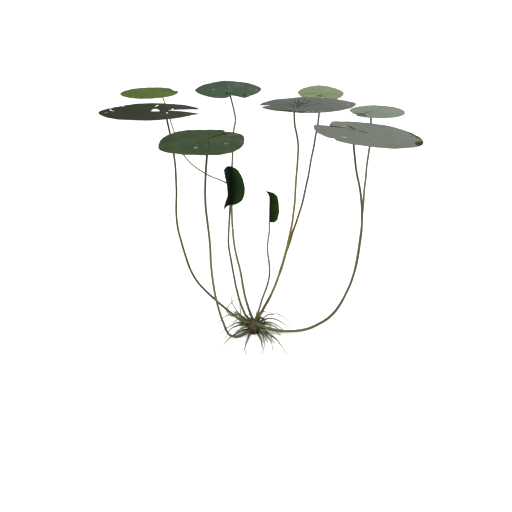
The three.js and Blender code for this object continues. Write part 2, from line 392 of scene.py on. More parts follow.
def stalk_material(name, base, middle, top, fleck, red_at):
    """A leaf stalk: its colour changes from base to top, with fine lengthwise streaks.

    red_at is how high up its one red scar is, in metres, or None."""
    shade = new_material(name)
    along = shade.value("along")
    place = shade.place()
    stretched = shade.add("ShaderNodeMapping", {"Vector": place, "Scale": (1.0, 1.0, 0.12)})
    streak = shade.grain(stretched.outputs[0], 900.0, 3.0)
    patch = shade.grain(place, 45.0, 2.0)
    colour = shade.paint(linear(*base), middle, shade.ease(along, 0.02, 0.3))
    colour = shade.paint(colour, top, shade.ease(along, 0.45, 0.92))
    colour = shade.paint(colour, fleck, shade.ease(streak, 0.45, 0.7), 0.45)
    shadow = [channel * 0.6 for channel in base]
    colour = shade.paint(colour, shadow, shade.ease(patch, 0.52, 0.75), 0.5)
    if red_at is not None:
        off = shade.apart(shade.split(place)[2], red_at)
        colour = shade.paint(colour, (214, 106, 78), shade.ease(off, 2.4 * MM, 1.2 * MM))
    rough = shade.plus(shade.times(streak, 0.25), 0.35)
    return shade.finish(colour, rough, 0.15, streak, 0.15 * MM)


def root_material(name, base, middle, tip):
    """Roots are dark where they leave the rhizome and fade to pale, thin tips."""
    shade = new_material(name)
    mottle = shade.grain(shade.place(), 260.0, 3.0)
    along = shade.plus(shade.value("along"), shade.centred(mottle, 0.25))
    colour = shade.paint(linear(*base), middle, shade.ease(along, 0.05, 0.4))
    colour = shade.paint(colour, tip, shade.ease(along, 0.4, 0.95))
    return shade.finish(colour, 0.65, 0.25, mottle, 0.2 * MM)


def rhizome_material():
    """Brown bark with pale flecks and dark leaf scars, darker at its foot."""
    shade = new_material("rhizome_skin")
    place = shade.place()
    broad = shade.grain(place, 90.0, 3.0)
    fine = shade.grain(place, 420.0, 4.0)
    colour = shade.paint(linear(98, 72, 60), (56, 40, 34), shade.ease(broad, 0.35, 0.68))
    colour = shade.paint(colour, (148, 116, 92), shade.ease(fine, 0.5, 0.72), 0.7)
    colour = shade.paint(colour, (44, 32, 28), shade.value("scar"), 0.8)
    height = shade.plus(shade.split(place)[2], shade.times(broad, 6 * MM))
    colour = shade.paint(colour, (40, 36, 36), shade.ease(height, 20 * MM, 8 * MM))
    colour = shade.paint(colour, (92, 84, 52), shade.ease(height, 20 * MM, 30 * MM), 0.6)
    return shade.finish(colour, 0.8, 0.25, shade.plus(shade.times(fine, 0.6), broad), 0.8 * MM)


# -------- pads

# Each pad's looks. power shapes its outline: 2 is an ellipse, less is pointed, more is blunt. square makes it
# squarer, with a corner at square_turn degrees from the notch. tip rounds the lobes beside the notch, gap is
# half the notch's width at the rim, and shut is higher the longer it stays closed. step lifts the lobe
# counter-clockwise of the notch and lowers the other, or the other way round where it is negative, sag
# lowers both and wave is the rim's wave. The lifted lobe is shortened by cut, at a slant of cut_slant, and
# slides lap to the side over the other one, which goes along by the share drag. rough and gloss are the
# surface's, relief the height of its bumps, and veins how strong the paint of the veins is. All lengths are
# in mm, and rim_width is in cm. paints are in the order of PAINTS, as on a screen. holes are outlines about
# a middle, which comes last. nicks are [turn from the notch, depth, half width]. marks are [x, y, half
# length, half width, turn, paint, strength]. Places are from the stalk for marks and from the middle of the
# blade for holes, with x towards the notch.
PAINTS = ("colour", "other", "fleck", "vein", "rim", "speck")
DULL_STRENGTH = 0.7     # of a mark from which the blade has no gloss there
PLAIN = {
    "power": 2.0, "tip": 6, "gap": 1.0, "shut": 1.5, "step": 0.0, "sag": 0.0, "wave": 1.0, "lap": 0.0,
    "rough": 0.3, "gloss": 0.4, "rim_width": 0.3, "veins": 0.45, "vein_width": 1.2, "vein_reach": 90,
    "cut": 0.0, "cut_slant": 0.0, "drag": 0.0, "square": 0.0, "square_turn": 0, "relief": 0.35,
    "holes": [], "nicks": [], "marks": [],
}
PALE = (178, 182, 160)
PADS = {
    "pad_left": {
        "paints": [(34, 42, 14), (42, 46, 20), (30, 34, 12), (26, 30, 18), (56, 66, 26), (70, 74, 52)],
        "gloss": 0.06, "power": 1.85, "tip": 5, "gap": 5.5, "step": 2.6,
        "holes": [
            [[-7, -12], [7.5, -12], [7, -5], [4, 4], [-1, 12], [-5, 9], [-7, -2], 11, 4],
            [[-3, -13], [0, -12], [3.5, 6], [4, 13], [1, 12], [-1, 2], 8.5, 45],
            [[-2.5, -7], [3, -7], [1.5, 4], [-0.5, 7], [-2, 2], 39, 11],
            [[-7.5, 13], [-5, 13], [1, 0], [7, -12], [4.5, -13], [-2, -1], -65, 13],
            [[-3.6, 7], [-1.6, 7.4], [3.6, -6], [2, -7.6], [-1.5, 0], 33, -22],
        ],
        "nicks": [[131, 12, 3.5], [136, 3, 4], [148, 2.5, 3]],
        "marks": [
            [-98, -8, 4, 3, 20, (128, 128, 108), 0.8], [21, 11, 1.4, 2.4, 0, (120, 120, 100), 0.8],
            [30, 7, 3.6, 1.6, -15, (112, 112, 94), 0.7], [30, 3.4, 15, 1.2, 2, (112, 94, 78), 0.6],
            [-40, 20, 5, 4, 0, (54, 66, 34), 0.5], [0, -32, 5, 9, 0, (62, 66, 60), 0.4],
        ],
    },
    "pad_back_left": {
        "paints": [(72, 96, 14), (84, 108, 22), (66, 90, 12), (98, 120, 48), (60, 84, 20), (130, 150, 80)],
        "rough": 0.36, "gloss": 0.08,
        "step": 0.6, "gap": 0.4, "shut": 3.0, "tip": 9, "wave": 1.2, "lap": 9.0, "cut": 5.0,
        "marks": [
            [2, -14, 7, 5, 0, (96, 76, 30), 0.6], [-46, -34, 2, 3, 0, (96, 56, 28), 0.8],
            [12, -4, 10, 4, 20, (62, 80, 22), 0.6], [-14, -8, 10, 6, 0, (72, 90, 28), 0.5],
            [18, -18, 14, 2.5, 10, (66, 84, 24), 0.6],
        ],
    },
    "pad_front_left": {
        "paints": [(42, 58, 26), (54, 72, 36), (46, 68, 40), (66, 86, 48), (58, 100, 26), (110, 128, 88)],
        "rough": 0.34, "gloss": 0.06,
        "power": 2.26, "square": 0.05, "square_turn": -15, "tip": 14, "gap": 0.4, "shut": 3.0,
        "step": 1.1, "wave": 1.2, "lap": 15.0,
        "marks": [
            [-51, -10, 4, 3, 0, (140, 150, 112), 0.8], [-38, -19, 3, 3, 0, (80, 98, 70), 0.5],
            [-14, -38, 5, 3, 0, (118, 132, 98), 0.7], [-10, -49, 8, 5, 0, (38, 58, 22), 0.6],
            [20, -32, 8, 4, 10, (34, 50, 26), 0.6], [10, -52, 7, 5, 0, (76, 92, 88), 0.6],
            # Painted shadow: the first mark on the next line is the shadow under the lifted lobe's edge,
            # beside the notch.
            [2, -4, 9, 3, -30, (26, 40, 18), 0.8], [30, -20, 16, 5, -30, (84, 98, 74), 0.35],
            [-4, -22, 16, 3, -60, (72, 90, 62), 0.4],
        ],
    },
    "pad_back": {
        "paints": [(44, 68, 44), (54, 78, 52), (60, 80, 72), (76, 98, 74), (40, 74, 30), (150, 162, 140)],
        "rough": 0.32, "gloss": 0.06,
        "power": 1.66, "tip": 27, "gap": 3.0, "shut": 2.2, "sag": 1.4, "step": -2.0, "wave": 0.9,
        "marks": [
            [-16, -29, 2.4, 2.4, 0, (176, 186, 162), 0.9], [-4, 54, 2.4, 2.4, 0, (176, 186, 162), 0.9],
            [-30, 3, 34, 1.0, 5, (96, 116, 92), 0.6], [16, -6, 7, 3, 0, (16, 30, 12), 0.9],
            [26, 26, 5, 4, 0, (30, 56, 20), 0.7], [2, 12, 5, 4, 0, (34, 54, 28), 0.5],
            [30, 35, 3, 5, 0, (110, 132, 96), 0.6], [-8, 46, 14, 10, 0, (82, 94, 96), 0.5],
            [-45, 24, 14, 10, 0, (78, 94, 88), 0.5], [34, -24, 6, 9, 0, (84, 88, 82), 0.6],
        ],
    },
    "pad_right": {
        "paints": [(50, 60, 46), (58, 64, 54), (62, 66, 58), (30, 36, 26), (56, 70, 38), (150, 154, 144)],
        "veins": 0.75,
        "gloss": 0.34, "vein_width": 1.8, "vein_reach": 130, "relief": 1.1,
        "power": 1.66, "tip": 6, "gap": 13.0, "shut": 6.0, "wave": 0.9,
        "marks": [
            [26, 46, 12, 7, -20, (56, 74, 26), 0.9], [4, 61, 12, 5, -10, (60, 78, 34), 0.8],
            [30, 47, 34, 3.4, -40, (70, 82, 44), 0.75], [30, -47, 34, 2.6, 40, (76, 86, 54), 0.75],
            [-5, -6, 36, 1.3, 86, (58, 64, 52), 0.9], [-10, -8, 37, 1.3, 78, (58, 64, 52), 0.9],
            [-17, -10, 38, 1.4, 70, (58, 64, 52), 0.9], [-21, -1, 32, 1.3, 60, (62, 68, 56), 0.9],
            [6, 24, 10, 1.6, -35, (58, 64, 52), 0.9], [3, 10, 19, 1.3, -76, (62, 68, 56), 0.9],
            [-28, 14, 24, 1.4, 36, (66, 72, 60), 0.8],
            [22, 40, 8, 5, 0, (84, 98, 70), 0.6], [-17, -5, 3, 5, 30, (24, 30, 20), 0.8],
            [-12, 60, 2, 3, 0, PALE, 0.8], [-20, 62, 2, 2, 0, PALE, 0.7], [-96, 10, 2, 4, 0, PALE, 0.6],
            [-20, -24, 2.6, 3.6, 0, PALE, 0.7], [50, -3, 3, 4, 0, PALE, 0.6],
            [-36, 60, 6, 5, 0, (70, 92, 40), 0.6],
        ],
    },
    "pad_back_right": {
        "paints": [(108, 126, 76), (118, 136, 86), (124, 136, 100), (96, 114, 70), (122, 138, 60),
                   (96, 116, 80)],
        "rough": 0.32, "gloss": 0.27,
        "power": 1.75, "tip": 15, "gap": 1.2, "shut": 2.4, "sag": -2.4, "step": 0.2, "wave": 0.7,
        "marks": [
            [8, -3, 7, 3, 60, (34, 48, 20), 0.9], [-7, -20, 1.6, 14, 0, (66, 86, 44), 0.8],
            [18, -19, 2.4, 3, 0, (40, 58, 28), 0.8], [22, 3, 5, 2.4, 30, (52, 72, 36), 0.6],
        ],
    },
    "pad_far_right": {
        "paints": [(94, 110, 84), (102, 116, 94), (108, 118, 106), (78, 94, 70), (84, 104, 62),
                   (130, 144, 122)],
        "gloss": 0.42,
        "power": 2.1, "tip": 6, "gap": 0.4, "shut": 3.0, "step": -0.7, "wave": 0.9, "lap": 9.0,
        "marks": [
            # Painted shade: the two marks on the next line darken the notch's seams, where the lobes overlap.
            [24, -4, 10, 2.4, -50, (58, 74, 48), 0.8], [21, 12, 9, 2.2, 80, (66, 82, 56), 0.7],
            [-34, -21, 3, 2, 0, (84, 100, 74), 0.7], [14, 16, 8, 2, 60, (84, 100, 74), 0.5],
        ],
    },
    "pad_front_right": {
        "paints": [(70, 82, 60), (76, 84, 70), (82, 88, 78), (56, 66, 48), (50, 66, 14), (104, 114, 96)],
        "gloss": 0.36,
        "power": 1.9, "tip": 5, "gap": 0.4, "shut": 3.0, "step": -0.8, "wave": 1.1, "rim_width": 0.24,
        "lap": 18.5, "cut": 21.0, "cut_slant": 0.6, "drag": 0.62,
        "nicks": [[80, 7.0, 7.0]],
        "marks": [
            [-19, 56, 6, 4, 0, (160, 168, 144), 0.85], [-17, 34, 4, 4, 0, (56, 68, 46), 0.6],
            [-110, -21, 14, 21, 20, (52, 62, 12), 1.0], [-79.5, -56, 36, 2.6, -36, (58, 70, 28), 0.9],
            [-40, 21, 4, 4, 0, (88, 96, 80), 0.5],
            # Painted shade: the first mark on the next line is painted shade along the fold by the notch,
            # where the lobes overlap.
            [8, -8, 18, 2.2, -40, (36, 46, 30), 0.85], [16, -3, 18, 2.6, -40, (112, 122, 102), 0.5],
            [-20, 4, 8, 3, 0, (44, 54, 38), 0.7], [20, 20, 22, 12, 30, (76, 88, 58), 0.5],
        ],
    },
}

OUTLINE_STEP = 1.3 * MM
SURFACE_STEP = 2.0 * MM
NOTCH_INSET = 2.5 * MM          # from the stalk's middle out to the notch's inner end


def blade_frame(node, stalk):
    """Where a CAD blade lies: the middle of its rim, its three directions and its sizes."""
    corners, _ = cad_mesh(node)
    low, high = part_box(node)
    x, y = (low.x + high.x) / 2, (low.y + high.y) / 2
    flat = np.column_stack([corners[:, :2], np.ones(len(corners))])
    slope_x, slope_y, level = np.linalg.lstsq(flat, corners[:, 2], rcond=None)[0]
    up = unit(np.array([-slope_x, -slope_y, 1.0]))
    middle = np.array([x, y, slope_x * x + slope_y * y + level])
    joint = stalk_lines[stalk][0][-1]
    notch = joint - middle
    notch = unit(notch - up * (notch @ up))
    across = np.cross(up, notch)
    middle = middle + up * (((corners - middle) @ up).min() + BLADE_THICKNESS)
    from_middle = corners - middle
    return {
        "middle": middle, "notch": notch, "across": across, "up": up,
        "long": -(from_middle @ notch).min(), "wide": np.abs(from_middle @ across).max(),
        "joint": (joint - middle) @ notch,
    }


def rounded(before, corner, after, reach):
    """Joins two lines of points that meet at a corner, with the corner rounded off over that reach."""
    before = before[np.linalg.norm(before - corner, axis=1) > reach]
    after = after[np.linalg.norm(after - corner, axis=1) > reach]
    start, end = before[-1], after[0]
    count = max(3, int(reach * 1.6 / OUTLINE_STEP))
    t = np.linspace(0, 1, count + 1)[1:-1, None]
    bend = (1 - t) ** 2 * start + 2 * t * (1 - t) * corner + t**2 * end
    return np.vstack([before, bend, after])


def blade_outline(blade, look, seed):
    """The blade's edge as seen from above, from the notch's inner end round the rim and back."""
    power = 2 / look["power"]
    start = look["gap"] * MM / blade["wide"]
    turn = np.linspace(start, 2 * math.pi - start, 420)
    cosine, sine = np.cos(turn), np.sin(turn)
    x = blade["long"] * np.sign(cosine) * np.abs(cosine) ** power
    y = blade["wide"] * np.sign(sine) * np.abs(sine) ** power
    radius = np.hypot(x, y)
    circle = np.column_stack([cosine, sine, np.zeros(len(turn))])
    uneven = 1 + 0.012 * rough_field(circle, 0.7, seed) + 0.003 * rough_field(circle, 0.12, seed + 1)
    away = smooth(0.0, 0.5, turn) * smooth(0.0, 0.5, 2 * math.pi - turn)
    shrink = 1 + (uneven - 1) * away
    shrink += look["square"] * np.cos(4 * (turn - math.radians(look["square_turn"])))
    for direction, depth, half in look["nicks"]:
        off = np.abs(turn - math.radians(direction)) * radius / MM
        shrink -= depth * MM / radius * np.clip(1 - off / half, 0, 1)
    rim = np.column_stack([x * shrink, y * shrink])
    inner = np.array([blade["joint"] + NOTCH_INSET, 0.0])
    steps = max(12, int((rim[0, 0] - inner[0]) / OUTLINE_STEP))
    share = np.linspace(0, 1, steps + 1)[1:-1, None]

    def notch_side(corner, direction):
        straight = blend(inner, corner, share)
        straight[:, 1] = direction * (0.15 * MM + (abs(corner[1]) - 0.15 * MM) * share[:, 0] ** look["shut"])
        straight[:, 1] += 0.5 * MM * np.sin(share[:, 0] * 9 + seed) * share[:, 0]
        return straight

    left_corner, right_corner = rim[0].copy(), rim[-1].copy()
    limit = left_corner[0] - look["cut"] * MM
    lifted_corner = left_corner if look["step"] > 0 else right_corner
    lifted_corner[0] = limit
    on_lifted = rim[:, 1] * look["step"] > 0
    rim = rim[~on_lifted | (rim[:, 0] < limit + look["cut_slant"] * np.abs(rim[:, 1]))]
    left = notch_side(left_corner, 1)
    right = notch_side(right_corner, -1)[::-1]
    outline = rounded(np.vstack([[inner], left]), left_corner, rim, look["tip"] * MM)
    outline = rounded(outline, right_corner, right, look["tip"] * MM)
    return even_loop(outline, OUTLINE_STEP)


def even_loop(points, spacing):
    """A closed outline with its points at even distances, starting from the same point."""
    closed = np.vstack([points, points[:1]])
    place = np.concatenate([[0.0], np.cumsum(np.linalg.norm(np.diff(closed, axis=0), axis=1))])
    wanted = np.linspace(0, place[-1], int(place[-1] / spacing) + 1)[:-1]
    return np.column_stack([np.interp(wanted, place, closed[:, i]) for i in range(2)])


def inside(points, outline):
    """Which points lie inside a closed outline."""
    within = np.zeros(len(points), bool)
    x, y = points[:, 0], points[:, 1]
    for (ax, ay), (bx, by) in zip(outline, np.roll(outline, -1, axis=0)):
        crosses = (ay > y) != (by > y)
        if ay != by:
            within ^= crosses & (x < (bx - ax) * (y - ay) / (by - ay) + ax)
    return within


def edge_distance(points, outline):
    """How far each point is from a closed outline."""
    nearest = np.full(len(points), 1.0)
    for a, b in zip(outline, np.roll(outline, -1, axis=0)):
        side = b - a
        share = np.clip(((points - a) @ side) / (side @ side), 0, 1)[:, None]
        nearest = np.minimum(nearest, np.linalg.norm(points - a - share * side, axis=1))
    return nearest


def torn_hole(corners, x, y, seed):
    """A hole's ragged outline, from a few corners in mm about its middle."""
    loop = even_loop(np.array(corners, float), 1.0)
    loop = loop + 0.35 * np.column_stack([
        rough_field(np.column_stack([loop, np.zeros(len(loop))]), 1.8, seed + i) for i in range(2)
    ])
    return (loop + (x, y)) * MM


def triangulated(outlines, spacing, seed):
    """Triangles that fill the first outline, leaving out the others, with even points between."""
    outer = outlines[0]
    rows = np.random.default_rng(seed)
    low, high = outer.min(axis=0), outer.max(axis=0)
    xs = np.arange(low[0], high[0], spacing)
    ys = np.arange(low[1], high[1], spacing * 0.866)
    grid = np.array([(x + spacing / 2 * (row % 2), y) for row, y in enumerate(ys) for x in xs])
    grid = grid + rows.uniform(-0.22, 0.22, grid.shape) * spacing
    keep = inside(grid, outer) & (edge_distance(grid, outer) > 0.55 * spacing)
    for hole in outlines[1:]:
        keep &= ~inside(grid, hole) & (edge_distance(grid, hole) > 0.45 * spacing)
    points = [tuple(p) for loop in outlines for p in loop] + [tuple(p) for p in grid[keep]]
    edges, start = [], 0
    for loop in outlines:
        edges += [(start + i, start + (i + 1) % len(loop)) for i in range(len(loop))]
        start += len(loop)
    made = delaunay_2d_cdt([Vector(p) for p in points], edges, [], 0, 1e-7)
    flat = np.array([tuple(v) for v in made[0]])
    triangles = np.array([face for face in made[2] if len(face) == 3])
    centres = flat[triangles].mean(axis=1)
    keep = inside(centres, outer)
    for hole in outlines[1:]:
        keep &= ~inside(centres, hole)
    triangles = triangles[keep]
    used, index = np.unique(triangles, return_inverse=True)
    return flat[used], index.reshape(-1, 3)


def vein_groove(x, y, joint):
    """0 on a main vein and 1 midway between two, for the pillows between a blade's veins."""
    turn = np.arctan2(y, x - joint) / (2 * math.pi) * VEIN_COUNT
    return np.abs(np.mod(turn, 1.0) - 0.5) * 2


def beside_notch(blade, flat, most, spread):
    """How far out along the notch each point is, up to most, and how close beside it, 1 to 0."""
    x, y = flat[:, 0] - blade["joint"], flat[:, 1]
    out = np.clip(x / (blade["long"] - blade["joint"]), 0, most)
    return out, np.exp(-(np.arctan2(np.abs(y), x) / spread) ** 2)


def blade_height(blade, look, flat, seed):
    """The height of a blade's upper side over its rim, at points seen from above."""
    x, y = flat[:, 0], flat[:, 1]
    share = np.hypot(x / blade["long"], y / blade["wide"])
    height = BLADE_DOME * (1 - share**2)
    spots = np.column_stack([flat, np.zeros(len(flat))])
    height += look["wave"] * MM * rough_field(spots, 42 * MM, seed) * (0.25 + 0.75 * share**2)
    height += 0.35 * MM * rough_field(spots, 13 * MM, seed + 2)
    height += 0.28 * MM * vein_groove(x, y, blade["joint"]) * smooth(0.1, 0.4, share)
    past, beside = beside_notch(blade, flat, 1.05, 0.6)
    height += past**1.15 * beside * MM * (np.sign(y) * look["step"] - look["sag"])
    return height + 0.5 * MM * smooth(0.95, 1.0, share)


def lapped(blade, look, flat):
    """Slides the lifted lobe sideways over the other one, which closes the notch."""
    lifted = math.copysign(1, look["step"])
    past, beside = beside_notch(blade, flat, 1, 0.5)
    beside = beside * np.where(flat[:, 1] * lifted > 0, 1.0, look["drag"])
    slide = look["lap"] * MM * smooth(0.0, 0.9, past) * beside
    return np.column_stack([flat[:, 0], flat[:, 1] - lifted * slide])


def thick_sheet(top, triangles, normals, thickness):
    """Gives a sheet its thickness: corners, faces, and 1 for each face of its underside."""
    count = len(top)
    corners = np.vstack([top, top - normals * thickness[:, None]])
    faces = [tuple(face) for face in triangles.tolist()]
    edges = {edge: True for a, b, c in faces for edge in ((a, b), (b, c), (c, a))}
    rim = [(b, a, a + count, b + count) for a, b in edges if (b, a) not in edges]
    under = [0] * len(faces) + [1] * len(faces) + [0] * len(rim)
    return corners, faces + [(c + count, b + count, a + count) for a, b, c in faces] + rim, under


def corner_normals(corners, triangles):
    normals = np.zeros_like(corners)
    a, b, c = (corners[triangles[:, i]] for i in range(3))
    face = np.cross(b - a, c - a)
    for i in range(3):
        np.add.at(normals, triangles[:, i], face)
    return unit(normals)


def dull_faces(triangles, plan, marks):
    """Which triangles lie in the strongest marks, where the blade has lost its gloss."""
    centres = plan[triangles].mean(axis=1)[:, :2] * PLAN_UNIT / MM
    dull = np.zeros(len(triangles), bool)
    for x, y, half_long, half_wide, turn, _, strength in marks:
        if strength >= DULL_STRENGTH:
            turn = math.radians(turn)
            along = (centres - (x, y)) @ (math.cos(turn), math.sin(turn)) / half_long
            across = (centres - (x, y)) @ (-math.sin(turn), math.cos(turn)) / half_wide
            dull |= along**2 + across**2 < 1
    return dull


def make_pad(node, given, seed):
    look = {**PLAIN, **dict(zip(PAINTS, given["paints"])), **given}
    blade = blade_frame(node, node.replace("pad_", "stalk_"))
    outline = blade_outline(blade, look, seed)
    holes = [torn_hole(corners, x, y, seed + i) for i, (*corners, x, y) in enumerate(look["holes"])]
    flat, triangles = triangulated([outline, *holes], SURFACE_STEP, seed)
    height = blade_height(blade, look, flat, seed)
    directions = np.array([blade["notch"], blade["across"], blade["up"]])
    top = blade["middle"] + np.column_stack([lapped(blade, look, flat), height]) @ directions
    rim = edge_distance(flat, outline)
    thickness = MM * (0.35 + 0.55 * smooth(0, 5 * MM, rim))
    corners, faces, used = thick_sheet(top, triangles, corner_normals(top, triangles), thickness)
    plan = np.column_stack([flat[:, 0] - blade["joint"], flat[:, 1], np.zeros(len(flat))]) / PLAN_UNIT
    values = {"plan": np.vstack([plan, plan]), "rim": np.tile(np.clip(rim / (10 * MM), 0, 1), 2)}
    used[:len(triangles)] = (2 * dull_faces(triangles, plan, look["marks"])).tolist()
    materials = [
        blade_top_material(node + "_top", look), blade_under_material(node + "_under"),
        blade_top_material(node + "_dull", {**look, "gloss": 0.04, "rough": 0.6}),
    ]
    piece(node + "_blade", corners, faces, [node], materials, values, used)


for number, (node, look) in enumerate(PADS.items()):
    make_pad(node, look, 3 + 5 * number)


# -------- young leaves

# Each young leaf is folded along its midrib. front and back are its halves: the turn in which each points,
# how far it curls on its way out, how far its foot is turned besides, and its width up the midrib as [share
# of the height, share of the width]. tail is how far the back half hangs under the stalk's end and hook how
# far the tip bends left. Lengths are in mm and turns in degrees. Its paints hold painted shade and light:
# dark is painted shade over the back half and along the fold, going over to light, painted light, towards
# the front rim, and inner is a painted sheen on the back half's outer part. rim is for its edges and ribs.
YOUNG_LEAVES = {
    "young_leaf_left": {
        "height": 71, "hook": 0, "tail": 9,
        "front": {
            "turn": 4, "curl": -26, "width": 28.5, "base_turn": 0,
            "profile": [[0, 0.1], [0.04, 0.42], [0.155, 0.77], [0.32, 0.96], [0.5, 1], [0.73, 0.82],
                        [0.915, 0.5], [0.975, 0.26], [1, 0.03]],
        },
        "back": {
            "turn": 122, "curl": 20, "width": 13.5, "base_turn": 34,
            "profile": [[0, 0.82], [0.03, 0.85], [0.25, 0.42], [0.48, 0.55], [0.7, 0.86], [0.87, 1],
                        [0.97, 0.62], [1, 0.03]],
        },
        "dark": (4, 12, 2), "light": (32, 58, 20), "rim": (14, 32, 8), "inner": (22, 48, 42),
    },
    "young_leaf_right": {
        "height": 60.5, "hook": 7, "tail": 0,
        "front": {
            "turn": 4, "curl": -20, "width": 17.5, "base_turn": 0,
            "profile": [[0, 0.42], [0.03, 0.62], [0.11, 0.86], [0.36, 1.03], [0.64, 0.95], [0.875, 0.78],
                        [0.96, 0.6], [1, 0.2]],
        },
        "back": {
            "turn": 78, "curl": 14, "width": 14, "base_turn": 0,
            "profile": [[0, 0.5], [0.16, 0.93], [0.39, 1], [0.68, 0.86], [0.89, 0.57], [1, 0.04]],
        },
        "dark": (24, 32, 12), "light": (42, 58, 14), "rim": (20, 34, 4), "inner": (40, 50, 38),
    },
}
LEAF_ROWS = 70
LEAF_COLUMNS = 16


def leaf_point(leaf, up, out, seed):
    """A point of a folded leaf, in mm from the stalk's end. out is -1 at the back rim, 1 at the front one."""
    half = leaf["front"] if out >= 0 else leaf["back"]
    far = abs(out)
    near = np.clip([up - 0.02, up, up, up + 0.02], 0, 1)
    width = half["width"] * np.interp(near, *np.array(half["profile"], float).T).mean()
    turn = half["turn"] + half["curl"] * far * width / half["width"] + half["base_turn"] * (1 - up) ** 5 * far
    turn = math.radians(turn)
    drop = leaf["tail"] * far**2 * (1 - up) ** 9 if out < 0 else 0
    bend = leaf["hook"] * max(0.0, (up - 0.74) / 0.26) ** 2.2
    sway = 0.6 * math.sin(5 * up + seed) * far**2
    x = far * width * math.cos(turn) - bend + 0.3 * sway
    y = far * width * math.sin(turn) + sway
    return x, y, leaf["height"] * up - drop - 0.25 * bend


def leaf_material(name, leaf):
    shade = new_material(name)
    place = shade.place()
    out = shade.value("out")
    rib = shade.value("rib")
    # Painted shade and light: the dark paint lies over the back half and along the fold, and goes over to the
    # light paint towards the front rim.
    rise = shade.plus(out, shade.centred(shade.grain(place, 60.0, 3.0), 0.4))
    colour = shade.paint(linear(*leaf["dark"]), leaf["light"], shade.ease(rise, 0.1, 0.85))
    # A painted sheen: the inner paint over the outer part of the back half.
    colour = shade.paint(colour, leaf["inner"], shade.ease(out, -0.4, -0.95))
    colour = shade.paint(colour, leaf["rim"], rib, 0.3)
    colour = shade.paint(colour, leaf["rim"], shade.ease(shade.math("ABSOLUTE", out), 0.93, 1.0))
    bumps = shade.plus(rib, shade.times(shade.grain(place, 500.0, 3.0), 0.5))
    return shade.finish(colour, 0.5, 0.03, bumps, 0.25 * MM)


def make_young_leaf(node, leaf, seed):
    stalk_end = stalk_lines[node.replace("young_leaf_", "stalk_young_")][0][-1]
    ups = 1 - (1 - np.linspace(0, 1, LEAF_ROWS)) ** 1.15
    even = np.linspace(-1, 1, 2 * LEAF_COLUMNS + 1)
    outs = np.sign(even) * np.abs(even) ** 0.9
    grid = stalk_end + np.array([leaf_point(leaf, up, out, seed) for up in ups for out in outs]) * MM
    columns = len(outs)
    triangles = []
    for i in range(len(ups) - 1):
        for a in range(i * columns, (i + 1) * columns - 1):
            triangles += [(a, a + 1, a + columns + 1), (a, a + columns + 1, a + columns)]
    triangles = np.array(triangles)
    normals = corner_normals(grid, triangles)
    out_of = np.tile(outs, len(ups))
    ribs = np.abs(np.sin((np.repeat(ups, columns) * 9 - np.abs(out_of) * 2.2) * math.pi)) ** 6
    grid = grid + normals * (0.22 * MM * ribs + 0.4 * MM * rough_field(grid, 16 * MM, seed))[:, None]
    thickness = MM * (0.35 + 0.45 * smooth(0.0, 0.2, 1 - np.abs(out_of)))
    corners, faces, _ = thick_sheet(grid, triangles, normals, thickness)
    midrib = grid.reshape(len(ups), columns, 3)[:, LEAF_COLUMNS]
    line, _, _ = smooth_line(np.vstack([stalk_end - (0, 0, 2 * MM), midrib]), 2 * MM)
    rib_corners, rib_faces, _ = tube(line, np.linspace(1.15, 0.35, len(line)) * MM, 10)
    corners, faces, values = joined([
        (corners, faces, np.tile(np.column_stack([out_of, ribs]), (2, 1))),
        (rib_corners, rib_faces, np.zeros((len(rib_corners), 2))),
    ])
    values = {"out": values[:, 0], "rib": values[:, 1]}
    piece(node + "_blade", corners, faces, [node], [leaf_material(node + "_skin", leaf)], values)


for number, (node, leaf) in enumerate(YOUNG_LEAVES.items()):
    make_young_leaf(node, leaf, 60 + number)


# -------- stalks

# Each stalk's colours at its base, middle and top, and its streaks'.
STALKS = {
    "stalk_left": [(84, 96, 46), (66, 76, 36), (42, 46, 30), (112, 124, 66)],
    "stalk_back_left": [(74, 76, 38), (110, 104, 52), (138, 128, 80), (130, 122, 68)],
    "stalk_front_left": [(70, 78, 40), (98, 100, 60), (56, 60, 54), (116, 122, 74)],
    "stalk_back": [(74, 80, 38), (110, 110, 60), (104, 104, 72), (128, 128, 80)],
    "stalk_right": [(104, 90, 50), (126, 116, 60), (76, 78, 54), (142, 132, 80)],
    "stalk_back_right": [(96, 82, 42), (86, 78, 40), (74, 76, 50), (130, 118, 66)],
    "stalk_far_right": [(98, 104, 58), (106, 112, 60), (90, 98, 82), (130, 136, 84)],
    "stalk_front_right": [(98, 104, 58), (80, 86, 46), (62, 68, 52), (120, 126, 74)],
    "stalk_young_left": [(72, 82, 38), (76, 84, 46), (58, 66, 48), (112, 120, 74)],
    "stalk_young_right": [(84, 72, 36), (96, 86, 56), (128, 120, 98), (132, 122, 90)],
}
RED_SCARS = {"stalk_back": 181 * MM}
STALK_SWELL = {"stalk_young_left": 1.4, "stalk_young_right": 1.3}
STALK_ROUND = 14


